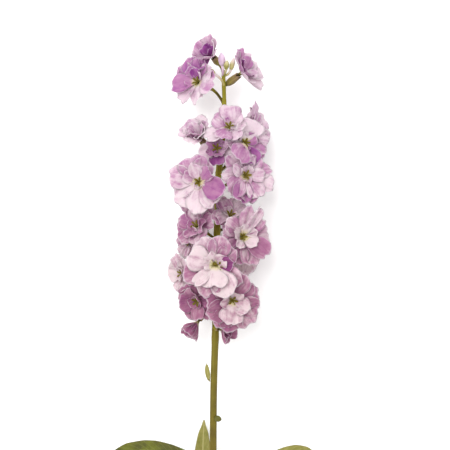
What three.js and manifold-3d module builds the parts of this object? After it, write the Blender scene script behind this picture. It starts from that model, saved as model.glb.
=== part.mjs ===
import * as THREE from "three";
import { mergeVertices } from "three/addons/utils/BufferGeometryUtils.js";
import Module from "manifold-3d";

// A cut stem of double-flowered stock, lying on a flat surface.
// Millimetres. +Y runs along the stem to the tip of the flower spike and +Z is up, away from the surface.
// Each floret is two solids: a calyx on its stalk, and the corolla that all its petals fill.

const wasm = await Module();
wasm.setup();

// ---- Driving dimensions ----

const GAP = 0.35; // clear space between neighbouring pieces

const STEM_SIDES = 10;
const STEM_STEPS = 26;
const STEM_ROUTE = [
  // x, y, z and diameter, from the cut end to the tip
  [-3.0, -118, 1.9, 4.6],
  [-2.7, -80, 5.2, 4.5],
  [-2.2, -40, 9.8, 4.4],
  [-1.6, 0, 14.6, 4.2],
  [-1.2, 42, 19.6, 4.2],
  [0.0, 78, 23.2, 4.2],
  [0.8, 132, 25.8, 3.9],
  [1.3, 148, 26.2, 3.8],
  [1.2, 165, 26.6, 3.6],
  [2.9, 179, 27.0, 3.2],
  [5.2, 206, 27.6, 2.7],
  [4.6, 231, 28.4, 2.0],
];

const STALK_RADIUS = 0.9;
const STALK_SIDES = 8;
const CALYX_RADIUS = 2.6;
const CALYX_LENGTH = 9;
const TIP_CONE = 0.2; // the low cone that closes the end of a stem, stalk or calyx
const CLAW_RADIUS = 1.9; // the narrow foot of a corolla, where its petals leave the calyx

const COROLLA_LOBES = 5;
const COROLLA_SAMPLES = 15;
const COROLLA_DEPTH = 8.5; // from the claw to the middle of the face
const LOBE_NOTCH = 0.14; // how far the outline dips between two lobes, as a share of the radius
const RIM_SHARE = 0.82; // how high the rim stands, as a share of the corolla's depth
const RIM_THICKNESS = 1.8;

const BUD_STALK_RADIUS = 0.7;

const LEAF_THICKNESS = 1.2;
const LEAF_CHANNEL = 0.3; // how far the edges rise over the midrib, as a share of the half width
const LEAF_STEPS = 12;

// Florets, the ones that lie over their neighbours first.
// face is the middle of the open face, and facing is the way it looks.
// stalkFrom is the height along the stem where the stalk leaves it.
const FLORETS = [
  { name: "centre", face: [-1, 115, 51], facing: [-0.1, -0.05, 1], radius: 19.5, stalkFrom: 106 },
  { name: "mid_left", face: [-11, 164, 48.5], facing: [-0.28, 0, 0.96], radius: 18.5, stalkFrom: 152 },
  { name: "mid_right", face: [20, 168.5, 45], facing: [0.42, 0.1, 0.9], radius: 16.5, stalkFrom: 156 },
  { name: "right", face: [18, 132, 45.5], facing: [0.42, 0.08, 0.9], radius: 18, stalkFrom: 122 },
  { name: "low_right", face: [11.5, 93, 46.5], facing: [0.3, -0.22, 0.93], radius: 17.5, stalkFrom: 84 },
  { name: "top_left", face: [-13.8, 225, 38], facing: [-0.62, 0.25, 0.75], radius: 15, stalkFrom: 206 },
  { name: "top_right", face: [19.5, 232, 35], facing: [0.72, 0.52, 0.46], radius: 11.5, stalkFrom: 214 },
  { name: "upper_mid", face: [7.6, 199, 45], facing: [-0.12, 0.5, 0.85], radius: 9, stalkFrom: 184 },
  { name: "upper_right", face: [19.5, 188, 41], facing: [0.45, 0.15, 0.88], radius: 12.5, stalkFrom: 176 },
  { name: "upper_curl", face: [0.3, 184.5, 45], facing: [-0.1, 0.12, 1], radius: 7.5, stalkFrom: 175 },
  {
    name: "bell",
    face: [-12.4, 195, 38],
    facing: [-0.4, 0.56, 0.73],
    radius: 8.5,
    depth: 10,
    calyxLength: 6.5,
    stalkFrom: 174,
  },
  { name: "right_edge", face: [27, 198, 29], facing: [0.82, 0.35, 0.44], radius: 12, stalkFrom: 186 },
  { name: "mid_violet", face: [-14, 140, 40], facing: [-0.5, 0.35, 0.8], radius: 11, stalkFrom: 129 },
  { name: "left_small", face: [-19.5, 129, 35], facing: [-0.78, 0.05, 0.62], radius: 9.5, stalkFrom: 118 },
  { name: "mid_behind", face: [9.5, 147, 39], facing: [0.15, 0.5, 0.85], radius: 12, stalkFrom: 136 },
  { name: "left_pale", face: [-24.5, 109, 31], facing: [-0.86, -0.05, 0.5], radius: 11.5, stalkFrom: 100 },
  { name: "low_left", face: [-13.5, 91.5, 38], facing: [-0.5, -0.38, 0.78], radius: 11.5, stalkFrom: 88 },
  {
    name: "hanging_bud",
    face: [-14.8, 74.8, 25],
    facing: [-0.6, -0.78, 0.15],
    radius: 5.5,
    depth: 9,
    calyxLength: 6.5,
    stalkFrom: 78,
  },
  {
    name: "lowest",
    face: [7.8, 74, 29],
    facing: [0.85, -0.3, 0.43],
    radius: 5,
    depth: 7,
    calyxLength: 5,
    stalkFrom: 66,
  },
  {
    name: "tip",
    face: [-5.4, 243, 36],
    facing: [-0.5, 0.52, 0.69],
    radius: 8,
    depth: 8.5,
    calyxLength: 6.5,
    stalkFrom: 226,
  },
  { name: "back_left", face: [-11, 155, 4.5], facing: [-0.42, 0.05, -0.9], radius: 14.5, stalkFrom: 143 },
  { name: "back_right", face: [16, 121, 4.5], facing: [0.48, 0.05, -0.87], radius: 14.5, stalkFrom: 111 },
  { name: "back_low", face: [-9, 101, 4], facing: [-0.38, 0.02, -0.92], radius: 14, stalkFrom: 92 },
  { name: "back_upper", face: [18.5, 177, 5], facing: [0.48, 0.06, -0.87], radius: 13, stalkFrom: 167 },
  { name: "back_top", face: [12, 196, 6], facing: [0.28, 0.1, -0.95], radius: 11, stalkFrom: 185 },
];

// Closed buds: the stalk leaves the stem at stalkFrom, the bud swells above foot and ends at tip.
const BUDS = [
  { name: "bud_pale", stalkFrom: 228, foot: [4.0, 233.5, 32], tip: [3.4, 241, 34], radius: 2.1 },
  { name: "bud_green", stalkFrom: 230, foot: [6.2, 231.4, 33], tip: [6.9, 236, 36], radius: 1.5 },
  { name: "bud_cream", stalkFrom: 220, foot: [-0.6, 228.2, 35.5], tip: [-5.4, 230.6, 38], radius: 1.9 },
  { name: "bud_long", stalkFrom: 226, foot: [9, 231, 30.5], tip: [11.0, 238.2, 32], radius: 1.4 },
  { name: "bud_axil", stalkFrom: 15, foot: [1.6, 18, 18.6], tip: [2.4, 22.2, 20], radius: 1.8 },
];

// Leaves: a midrib route from the stem to the tip, and the widest half width.
const LEAVES = [
  {
    name: "leaf_left",
    route: [[-4.5, -34, 10.5], [-12, -9, 19], [-28, 0, 23], [-45, 2, 19], [-62, -5, 9], [-74, -22, 1.5]],
    halfWidth: 6.5,
    roll: 0.5,
  },
  {
    name: "leaf_middle",
    route: [[-4.6, -58, 6.4], [-6.8, -40, 7.2], [-8, -20, 8], [-8, 0, 7.4], [-7.2, 20, 5.4]],
    halfWidth: 5,
    roll: 0,
  },
  {
    name: "leaf_right",
    route: [[0.2, -46, 9], [12, -30, 16], [28, -12, 19], [44, -1, 15], [56, -2, 9], [66, -12, 1.5]],
    halfWidth: 6,
    roll: -0.4,
  },
];

const BRACT = {
  name: "bract",
  route: [[-3.6, 44, 20], [-5, 50, 21], [-5.6, 55.5, 21.4]],
  halfWidth: 1.5,
  roll: 0,
};

// ---- Colours and finishes ----

const FINISHES = {
  petal: { color: 0xd9c3da, roughness: 0.6 },
  calyx: { color: 0x85743c, roughness: 0.6 },
  stem: { color: 0x6f6c24, roughness: 0.55 },
  leaf: { color: 0x8b9450, roughness: 0.65 },
  bud: { color: 0xa9a35c, roughness: 0.6 },
};

function finish(name) {
  return new THREE.MeshStandardMaterial({ ...FINISHES[name], metalness: 0 });
}

// ---- Solids: joining and cutting ----

function toSolid(geometry) {
  const bare = geometry.clone();
  bare.deleteAttribute("normal");
  bare.deleteAttribute("uv");
  const merged = mergeVertices(bare, 1e-4);
  const mesh = new wasm.Mesh({
    numProp: 3,
    vertProperties: new Float32Array(merged.attributes.position.array),
    triVerts: new Uint32Array(merged.index.array),
  });
  return new wasm.Manifold(mesh);
}

function toGeometry(solid) {
  const mesh = solid.getMesh();
  const geometry = new THREE.BufferGeometry();
  geometry.setAttribute("position", new THREE.BufferAttribute(mesh.vertProperties, 3));
  geometry.setIndex(new THREE.BufferAttribute(mesh.triVerts, 1));
  geometry.computeVertexNormals();
  return geometry;
}

function distanceTo(solid, point) {
  const positions = solid.getMesh().vertProperties;
  const corner = new THREE.Vector3();
  let nearest = Infinity;
  for (let i = 0; i < positions.length; i += 3) {
    corner.set(positions[i], positions[i + 1], positions[i + 2]);
    nearest = Math.min(nearest, corner.distanceTo(point));
  }
  return nearest;
}

function boxesMeet(a, b) {
  const boxA = a.boundingBox();
  const boxB = b.boundingBox();
  return [0, 1, 2].every((axis) => boxA.min[axis] <= boxB.max[axis] && boxB.min[axis] <= boxA.max[axis]);
}

// Cuts the blockers out of a solid, and keeps the one body that still holds the anchor point.
function cutBack(solid, blockers, anchor) {
  let kept = solid;
  for (const blocker of blockers) {
    if (boxesMeet(kept, blocker)) {
      kept = kept.subtract(blocker);
    }
  }
  const bodies = kept.decompose();
  bodies.sort((a, b) => distanceTo(a, anchor) - distanceTo(b, anchor));
  return bodies[0];
}

// The space under the surface that the flower lies on.
const GROUND = toSolid(new THREE.BoxGeometry(400, 600, 60).translate(0, 60, -30));

// ---- Shapes ----

// A closed skin over rings of points, each ring counter-clockwise about the way the rings go.
function loft(rings, startTip, endTip) {
  const around = rings[0].length;
  const points = [startTip, ...rings.flat(), endTip];
  const end = points.length - 1;
  const faces = [];
  for (let side = 0; side < around; side += 1) {
    const next = (side + 1) % around;
    faces.push(0, 1 + next, 1 + side);
    for (let ring = 0; ring < rings.length - 1; ring += 1) {
      const low = 1 + ring * around;
      const high = low + around;
      faces.push(low + side, low + next, high + next);
      faces.push(low + side, high + next, high + side);
    }
    const last = end - around;
    faces.push(end, last + side, last + next);
  }
  const geometry = new THREE.BufferGeometry().setFromPoints(points);
  geometry.setIndex(faces);
  return geometry;
}

function squareTo(direction, hint) {
  return hint.clone().addScaledVector(direction, -hint.dot(direction)).normalize();
}

// A round tube through centres, with a radius at each one, and a flat or slightly domed end.
function taperedTube(centres, radii, sides, dome = 0) {
  const count = centres.length;
  const rings = [];
  let side = new THREE.Vector3(0.31, 0.17, 0.93);
  let forward = new THREE.Vector3();
  for (let i = 0; i < count; i += 1) {
    const before = centres[Math.max(i - 1, 0)];
    const after = centres[Math.min(i + 1, count - 1)];
    forward = after.clone().sub(before).normalize();
    side = squareTo(forward, side);
    const up = forward.clone().cross(side);
    const ring = [];
    for (let corner = 0; corner < sides; corner += 1) {
      const angle = (2 * Math.PI * corner) / sides;
      const point = centres[i].clone();
      point.addScaledVector(side, radii[i] * Math.cos(angle));
      point.addScaledVector(up, radii[i] * Math.sin(angle));
      ring.push(point);
    }
    rings.push(ring);
  }
  const endTip = centres[count - 1].clone().addScaledVector(forward, dome);
  return loft(rings, centres[0].clone(), endTip);
}

const stemCurve = new THREE.CatmullRomCurve3(STEM_ROUTE.map(([x, y, z]) => new THREE.Vector3(x, y, z)));

function stemRadiusAt(share) {
  const place = share * (STEM_ROUTE.length - 1);
  const lower = Math.min(Math.floor(place), STEM_ROUTE.length - 2);
  const diameter = THREE.MathUtils.lerp(STEM_ROUTE[lower][3], STEM_ROUTE[lower + 1][3], place - lower);
  return diameter / 2;
}

// The point on the stem's axis at a height along Y.
function stemAt(height) {
  let low = 0;
  let high = 1;
  for (let step = 0; step < 30; step += 1) {
    const middle = (low + high) / 2;
    if (stemCurve.getPoint(middle).y < height) {
      low = middle;
    } else {
      high = middle;
    }
  }
  return stemCurve.getPoint(low);
}

function stemGeometry(grow) {
  const shares = Array.from({ length: STEM_STEPS + 1 }, (_, i) => i / STEM_STEPS);
  const centres = shares.map((share) => stemCurve.getPoint(share));
  const radii = shares.map((share) => stemRadiusAt(share) + grow);
  return taperedTube(centres, radii, STEM_SIDES, TIP_CONE + grow);
}

// Points along a stalk that leaves the stem and arrives at its end in the given direction.
function stalkPoints(height, arrive, direction) {
  const start = stemAt(height);
  const reach = start.distanceTo(arrive);
  const bend = arrive.clone().addScaledVector(direction, -0.5 * reach);
  const curve = new THREE.QuadraticBezierCurve3(start, bend, arrive);
  return [0, 0.4, 0.75].map((share) => curve.getPoint(share));
}

function floretAxes(floret) {
  const facing = new THREE.Vector3(...floret.facing).normalize();
  const upStem = new THREE.Vector3(0, 1, 0);
  const hint = Math.abs(facing.y) > 0.8 ? new THREE.Vector3(0, 0, 1) : upStem;
  const up = squareTo(facing, hint);
  const side = up.clone().cross(facing);
  const depth = floret.depth ?? COROLLA_DEPTH;
  const claw = new THREE.Vector3(...floret.face).addScaledVector(facing, -depth);
  return { facing, up, side, depth, claw };
}

// The calyx: a stalk, then a narrow cup that swells below the middle and ends in a low cone.
function calyxGeometry(floret, grow) {
  const { facing, claw } = floretAxes(floret);
  const length = floret.calyxLength ?? CALYX_LENGTH;
  const girth = Math.min(1, 0.55 + floret.radius / 40); // a small floret has a slimmer calyx
  const mouth = claw.clone().addScaledVector(facing, -GAP - TIP_CONE);
  const foot = mouth.clone().addScaledVector(facing, -length);
  const cup = [0, 0.18, 0.5, 1].map((share) => foot.clone().addScaledVector(facing, share * length));
  const centres = [...stalkPoints(floret.stalkFrom, foot, facing), ...cup];
  const stalk = STALK_RADIUS;
  const swell = CALYX_RADIUS * girth;
  const radii = [stalk, stalk, stalk, 1.2 * stalk, 0.85 * swell, swell, 0.86 * swell];
  return taperedTube(centres, radii.map((radius) => radius + grow), STALK_SIDES, TIP_CONE + grow);
}

// The corolla: from the claw out along the underside, over a lobed rim and back across the face.
function corollaGeometry(floret, grow) {
  const { facing, up, side, depth, claw } = floretAxes(floret);
  const { radius } = floret;
  const rim = depth * RIM_SHARE;
  const profile = [
    { out: CLAW_RADIUS, along: 0, lobed: 0, shift: -grow },
    { out: 0.5 * radius, along: 0.5 * depth, lobed: 0.3, shift: -grow },
    { out: radius, along: rim - RIM_THICKNESS / 2, lobed: 1, shift: -grow },
    { out: 0.95 * radius, along: rim + RIM_THICKNESS / 2, lobed: 1, shift: grow },
    { out: 0.55 * radius, along: depth + 1, lobed: 0.5, shift: grow },
    { out: 0.2 * radius, along: depth, lobed: 0, shift: grow },
  ];
  const rings = profile.map(({ out, along, lobed, shift }) => {
    const ring = [];
    for (let sample = 0; sample < COROLLA_SAMPLES; sample += 1) {
      const angle = (2 * Math.PI * sample) / COROLLA_SAMPLES;
      const dip = 0.5 - 0.5 * Math.cos(COROLLA_LOBES * angle);
      const reach = out * (1 - LOBE_NOTCH * lobed * dip) + grow;
      const point = claw.clone();
      point.addScaledVector(facing, along + shift);
      point.addScaledVector(up, reach * Math.cos(angle));
      point.addScaledVector(side, -reach * Math.sin(angle));
      ring.push(point);
    }
    return ring;
  });
  const startTip = claw.clone().addScaledVector(facing, -grow);
  const endTip = claw.clone().addScaledVector(facing, depth - 0.6 + grow);
  return loft(rings, startTip, endTip);
}

function budGeometry(bud, grow) {
  const foot = new THREE.Vector3(...bud.foot);
  const tip = new THREE.Vector3(...bud.tip);
  const along = tip.clone().sub(foot);
  const direction = along.clone().normalize();
  const swelling = [0, 0.2, 0.5, 0.8, 1].map((share) => foot.clone().addScaledVector(along, share));
  const centres = [...stalkPoints(bud.stalkFrom, foot, direction), ...swelling];
  const stalk = BUD_STALK_RADIUS;
  const { radius } = bud;
  const radii = [stalk, stalk, stalk, 1.1 * stalk, 0.8 * radius, radius, 0.75 * radius, 0.25 * radius];
  return taperedTube(centres, radii.map((girth) => girth + grow), STALK_SIDES, TIP_CONE + grow);
}

// A leaf's width along its midrib, as a share of its widest: narrow at the stem, blunt at the tip.
function leafWidthAt(share) {
  const foot = 0.12;
  const tip = 0.97;
  const blade = Math.sin(Math.PI * THREE.MathUtils.lerp(foot, tip, share)) ** 0.8;
  return Math.max(blade, 0.16);
}

// A leaf: a narrow blade with a shallow channel along the midrib.
function leafGeometry(leaf) {
  const curve = new THREE.CatmullRomCurve3(leaf.route.map((point) => new THREE.Vector3(...point)));
  const rings = [];
  for (let step = 0; step <= LEAF_STEPS; step += 1) {
    const share = step / LEAF_STEPS;
    const centre = curve.getPoint(share);
    const forward = curve.getTangent(share);
    const level = squareTo(forward, new THREE.Vector3(0, 0, 1));
    const up = level.applyAxisAngle(forward, leaf.roll * share);
    const side = up.clone().cross(forward);
    const half = leaf.halfWidth * leafWidthAt(share);
    const thick = LEAF_THICKNESS / 2;
    const section = [
      [half, half * LEAF_CHANNEL],
      [half * 0.5, half * LEAF_CHANNEL * 0.3 + thick],
      [0, thick],
      [-half * 0.5, half * LEAF_CHANNEL * 0.3 + thick],
      [-half, half * LEAF_CHANNEL],
      [-half * 0.5, half * LEAF_CHANNEL * 0.3 - thick],
      [0, -thick],
      [half * 0.5, half * LEAF_CHANNEL * 0.3 - thick],
    ];
    const place = ([across, rise]) => centre.clone().addScaledVector(side, across).addScaledVector(up, rise);
    rings.push(section.map(place));
  }
  return loft(rings, curve.getPoint(0), curve.getPoint(1));
}

// ---- Assembly ----

const stockFlower = new THREE.Group();
stockFlower.name = "stock_flower";

function addPiece(name, solid, at, slot) {
  const geometry = toGeometry(solid);
  geometry.translate(-at.x, -at.y, -at.z);
  const mesh = new THREE.Mesh(geometry, finish(slot));
  mesh.name = name;
  mesh.position.copy(at);
  stockFlower.add(mesh);
}

const cutEnd = stemCurve.getPoint(0);
const stem = cutBack(toSolid(stemGeometry(0)), [GROUND], stemCurve.getPoint(1));
addPiece("stem", stem, cutEnd, "stem");

// Room that each finished piece keeps around itself, which later pieces are cut back to.
const room = [toSolid(stemGeometry(GAP))];

const calyxRooms = new Map();
for (const floret of FLORETS) {
  const { claw } = floretAxes(floret);
  const calyx = cutBack(toSolid(calyxGeometry(floret, 0)), [...room, GROUND], claw);
  addPiece(`floret_${floret.name}_calyx`, calyx, claw, "calyx");
  const grown = toSolid(calyxGeometry(floret, GAP));
  calyxRooms.set(floret.name, grown);
  room.push(grown);
}

for (const bud of BUDS) {
  const tip = new THREE.Vector3(...bud.tip);
  const solid = cutBack(toSolid(budGeometry(bud, 0)), [...room, GROUND], tip);
  addPiece(bud.name, solid, tip, "bud");
  room.push(toSolid(budGeometry(bud, GAP)));
}

for (const leaf of [...LEAVES, BRACT]) {
  const foot = new THREE.Vector3(...leaf.route[0]);
  const middle = new THREE.Vector3(...leaf.route[Math.floor(leaf.route.length / 2)]);
  addPiece(leaf.name, cutBack(toSolid(leafGeometry(leaf)), [...room, GROUND], middle), foot, "leaf");
}

for (const floret of FLORETS) {
  const { claw } = floretAxes(floret);
  const own = calyxRooms.get(floret.name);
  const blockers = room.filter((solid) => solid !== own);
  const corolla = cutBack(toSolid(corollaGeometry(floret, 0)), [...blockers, GROUND], claw);
  addPiece(`floret_${floret.name}_petals`, corolla, claw, "petal");
  room.push(toSolid(corollaGeometry(floret, GAP)));
}

// The origin goes to the middle of the footprint, on the surface.
const extent = new THREE.Box3().setFromObject(stockFlower);
const middle = extent.getCenter(new THREE.Vector3());
const shift = new THREE.Vector3(-middle.x, -middle.y, -extent.min.z);
for (const piece of stockFlower.children) {
  piece.position.add(shift);
}

export default stockFlower;
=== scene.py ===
# %% [markdown]
# # A stem of double stock, petal by petal
#
# Stock is a cottage-garden flower: one bare green stem with a spike of ruffled, scented florets.
# In this lesson every petal is a small grid of points, bent by a few formulas. A floret is a handful
# of those petals set in whorls, and the spike is twenty-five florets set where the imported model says.

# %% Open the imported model
import math
import random

import bmesh
import bpy
import numpy as np
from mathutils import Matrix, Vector


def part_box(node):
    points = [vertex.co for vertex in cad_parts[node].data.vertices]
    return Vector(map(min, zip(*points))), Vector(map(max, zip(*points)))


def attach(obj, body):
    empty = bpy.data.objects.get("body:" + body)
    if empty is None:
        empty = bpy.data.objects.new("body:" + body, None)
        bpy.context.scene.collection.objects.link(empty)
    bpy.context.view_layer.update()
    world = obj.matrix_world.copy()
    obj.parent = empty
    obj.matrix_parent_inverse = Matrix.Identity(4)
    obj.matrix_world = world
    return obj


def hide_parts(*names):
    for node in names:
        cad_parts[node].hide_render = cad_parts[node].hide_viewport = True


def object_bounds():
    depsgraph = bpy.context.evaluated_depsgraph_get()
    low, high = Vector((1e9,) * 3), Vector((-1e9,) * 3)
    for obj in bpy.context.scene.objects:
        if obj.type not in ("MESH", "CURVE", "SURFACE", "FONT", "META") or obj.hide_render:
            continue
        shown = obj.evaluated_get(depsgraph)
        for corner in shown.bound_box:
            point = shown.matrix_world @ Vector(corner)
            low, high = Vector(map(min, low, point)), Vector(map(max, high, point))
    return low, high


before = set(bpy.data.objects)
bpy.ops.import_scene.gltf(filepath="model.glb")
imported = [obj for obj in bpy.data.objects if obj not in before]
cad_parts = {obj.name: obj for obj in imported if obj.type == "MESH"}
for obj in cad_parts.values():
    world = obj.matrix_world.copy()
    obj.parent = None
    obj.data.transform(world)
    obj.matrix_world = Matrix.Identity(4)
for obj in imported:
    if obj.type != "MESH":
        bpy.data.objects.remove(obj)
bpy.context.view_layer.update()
MM = 0.001
print("nodes in the packed model:", len(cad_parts))

# %% [markdown]
# ## Where things are
#
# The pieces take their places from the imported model. Its solids say where the stem runs and where each
# floret sits, so the helpers in the next cells measure them. A level cut through a long piece gives
# its width and its middle at that level, and many cuts give a midline.

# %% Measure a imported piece
def corners_of(node):
    mesh = bpy.data.objects[node].data
    flat = np.empty(len(mesh.vertices) * 3)
    mesh.vertices.foreach_get("co", flat)
    return flat.reshape(-1, 3)


def triangles_of(node):
    mesh = bpy.data.objects[node].data
    points = corners_of(node)
    return np.array([[points[i] for i in face.vertices[:3]] for face in mesh.polygons])


def cut_through(triangles, axis, level):
    """The points where the triangles' edges cross a plane square to an axis."""
    crossings = []
    for first, second in ((0, 1), (1, 2), (2, 0)):
        start = triangles[:, first]
        end = triangles[:, second]
        below = start[:, axis] - level
        above = end[:, axis] - level
        crosses = below * above < 0
        share = (below[crosses] / (below[crosses] - above[crosses]))[:, None]
        crossings.append(start[crosses] + (end[crosses] - start[crosses]) * share)
    return np.concatenate(crossings)


def midline(node, axis, count):
    """Evenly spaced middles of a long piece along an axis, with the two far edges of each cut."""
    triangles = triangles_of(node)
    low = triangles[:, :, axis].min()
    high = triangles[:, :, axis].max()
    middles = []
    edges = []
    for level in np.linspace(low + 0.01 * (high - low), high - 0.01 * (high - low), count):
        ring = cut_through(triangles, axis, level)
        gaps = np.linalg.norm(ring[:, None] - ring[None, :], axis=2)
        a, b = np.unravel_index(gaps.argmax(), gaps.shape)
        middles.append((ring[a] + ring[b]) / 2)
        edges.append((ring[a], ring[b]))
    return np.array(middles), np.array(edges)


stem_middles, stem_edges = midline("stem", 1, 60)
stem_radii = np.linalg.norm(stem_edges[:, 0] - stem_edges[:, 1], axis=1) / 2
print("stem radius in mm, cut end and tip:", stem_radii[0] / MM, stem_radii[-1] / MM)

# %% [markdown]
# A floret's calyx and its corolla meet nose to nose. The closest pair of points between the two solids
# is the seat of the floret, and the step from one to the other is the way that the floret faces.

# %% Find each floret's seat
UP_STEM = np.array([0.0, 1.0, 0.0])


def unit(vector):
    return vector / np.linalg.norm(vector)


def square_to(facing):
    """Two directions square to the way a floret faces: up, towards the stem's tip, and right."""
    hint = UP_STEM if abs(facing[1]) <= 0.8 else np.array([0.0, 0.0, 1.0])
    up = unit(hint - facing * hint.dot(facing))
    return up, np.cross(up, facing)


def seat_of(name):
    """Where a floret sits, which way it faces, and how wide and deep it is."""
    calyx = corners_of(f"floret_{name}_calyx")
    corolla = corners_of(f"floret_{name}_petals")
    gaps = np.linalg.norm(calyx[:, None] - corolla[None, :], axis=2)
    a, b = np.unravel_index(gaps.argmin(), gaps.shape)
    facing = unit(corolla[b] - calyx[a])
    up, right = square_to(facing)
    along = (corolla - corolla[b]) @ facing
    away = np.linalg.norm(corolla - corolla[b] - along[:, None] * facing, axis=1)
    behind = np.unique(np.round(-(calyx - calyx[a]) @ facing, 6))
    nose = behind[behind > 0.05 * MM][0]
    belly = behind[behind > nose + 1 * MM][0]
    return {
        "claw": corolla[b],
        "mouth": calyx[a],
        "facing": facing,
        "up": up,
        "right": right,
        "radius": away.max(),
        "depth": along.max(),
        "cup": 2 * (belly - nose),
    }


floret_names = sorted(n[len("floret_"):-len("_petals")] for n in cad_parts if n.endswith("_petals"))
seats = {name: seat_of(name) for name in floret_names}
for name, seat in seats.items():
    print(name, "faces", np.round(seat["facing"], 2), "radius in mm", round(seat["radius"] / MM, 1))

# %% [markdown]
# ## Finishes
#
# A material is a small net of nodes. The helpers here add one node each and hand back its output, so
# that the nets below read like sums.

# %% Node helpers
def new_finish(name):
    material = bpy.data.materials.new(name)
    material.use_nodes = True
    material.node_tree.nodes.clear()
    return material, material.node_tree


def wire(tree, value, socket):
    if isinstance(value, bpy.types.NodeSocket):
        tree.links.new(value, socket)
    else:
        socket.default_value = value


def sum_of(tree, operation, first, second=0.5):
    node = tree.nodes.new("ShaderNodeMath")
    node.operation = operation
    wire(tree, first, node.inputs[0])
    wire(tree, second, node.inputs[1])
    return node.outputs[0]


def blend_of(tree, share, first, second):
    node = tree.nodes.new("ShaderNodeMix")
    node.data_type = "RGBA"
    wire(tree, share, node.inputs["Factor"])
    wire(tree, first, node.inputs["A"])
    wire(tree, second, node.inputs["B"])
    return node.outputs["Result"]


def fade(tree, value, start, end, low=0.0, high=1.0):
    """Follows a value from low to high as it goes from start to end, smoothly."""
    node = tree.nodes.new("ShaderNodeMapRange")
    node.interpolation_type = "SMOOTHSTEP"
    wire(tree, value, node.inputs["Value"])
    node.inputs["From Min"].default_value = start
    node.inputs["From Max"].default_value = end
    node.inputs["To Min"].default_value = low
    node.inputs["To Max"].default_value = high
    return node.outputs["Result"]


def stretched(tree, vector, scale):
    node = tree.nodes.new("ShaderNodeMapping")
    wire(tree, vector, node.inputs["Vector"])
    node.inputs["Scale"].default_value = scale
    return node.outputs["Vector"]


def grain(tree, vector, scale, detail=3.0, roughness=0.5):
    node = tree.nodes.new("ShaderNodeTexNoise")
    wire(tree, vector, node.inputs["Vector"])
    node.inputs["Scale"].default_value = scale
    node.inputs["Detail"].default_value = detail
    node.inputs["Roughness"].default_value = roughness
    return node.outputs["Fac"]


def attribute(tree, name):
    node = tree.nodes.new("ShaderNodeAttribute")
    node.attribute_name = name
    return node.outputs["Fac"]


def place_on_piece(tree):
    """Across and along a piece, from its own UV map, with the map's own vector."""
    node = tree.nodes.new("ShaderNodeUVMap")
    node.uv_map = "growth"
    split = tree.nodes.new("ShaderNodeSeparateXYZ")
    tree.links.new(node.outputs["UV"], split.inputs["Vector"])
    return node.outputs["UV"], split.outputs["X"], split.outputs["Y"]


def solid_place(tree):
    return tree.nodes.new("ShaderNodeTexCoord").outputs["Object"]


def bump_of(tree, height, depth, strength=1.0):
    node = tree.nodes.new("ShaderNodeBump")
    wire(tree, height, node.inputs["Height"])
    node.inputs["Distance"].default_value = depth
    node.inputs["Strength"].default_value = strength
    return node.outputs["Normal"]


def living_surface(tree, colour, roughness, normal, glow=0.0, inner=0.0, velvet=0.0):
    """Plant tissue: a Principled surface, with some light let through where it is thin."""
    surface = tree.nodes.new("ShaderNodeBsdfPrincipled")
    wire(tree, colour, surface.inputs["Base Color"])
    wire(tree, roughness, surface.inputs["Roughness"])
    wire(tree, normal, surface.inputs["Normal"])
    surface.inputs["Specular IOR Level"].default_value = 0.3
    surface.inputs["Sheen Weight"].default_value = velvet
    surface.inputs["Subsurface Weight"].default_value = inner
    surface.inputs["Subsurface Radius"].default_value = (0.8, 0.5, 0.7)
    surface.inputs["Subsurface Scale"].default_value = 1.5 * MM
    output = tree.nodes.new("ShaderNodeOutputMaterial")
    if not glow:
        tree.links.new(surface.outputs["BSDF"], output.inputs["Surface"])
        return
    through = tree.nodes.new("ShaderNodeBsdfTranslucent")
    wire(tree, colour, through.inputs["Color"])
    both = tree.nodes.new("ShaderNodeMixShader")
    both.inputs["Fac"].default_value = glow
    tree.links.new(surface.outputs["BSDF"], both.inputs[1])
    tree.links.new(through.outputs["BSDF"], both.inputs[2])
    tree.links.new(both.outputs["Shader"], output.inputs["Surface"])


# %% [markdown]
# ### The petal finish
#
# A stock petal is olive where its narrow claw leaves the calyx, cream just above that, and lilac over
# the blade, with fine veins that fan out and a pale rim, made paler still as a painted highlight along
# the edges. The UV map runs across and along each petal, so the veins fan with the blade. An attribute
# named violet says how deep each petal's colour is. The spike is mauve low down and bluer near its tip,
# so each colour has a low and a high form.

# %% Petal finish
WHITE_HIGH, WHITE_LOW = (0.69, 0.56, 0.62, 1), (0.68, 0.55, 0.57, 1)
LILAC_HIGH, LILAC_LOW = (0.42, 0.185, 0.35, 1), (0.345, 0.14, 0.225, 1)
VIOLET_HIGH, VIOLET_LOW = (0.265, 0.05, 0.26, 1), (0.19, 0.033, 0.125, 1)
# the pale rim colour, light enough to be a painted highlight along the petal edges
PALE_RIM_HIGHLIGHT = (0.80, 0.68, 0.74, 1)
CREAM = (0.66, 0.58, 0.34, 1)
CLAW_OLIVE = (0.17, 0.13, 0.008, 1)
CLAW_DARK = (0.05, 0.035, 0.004, 1)


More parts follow.
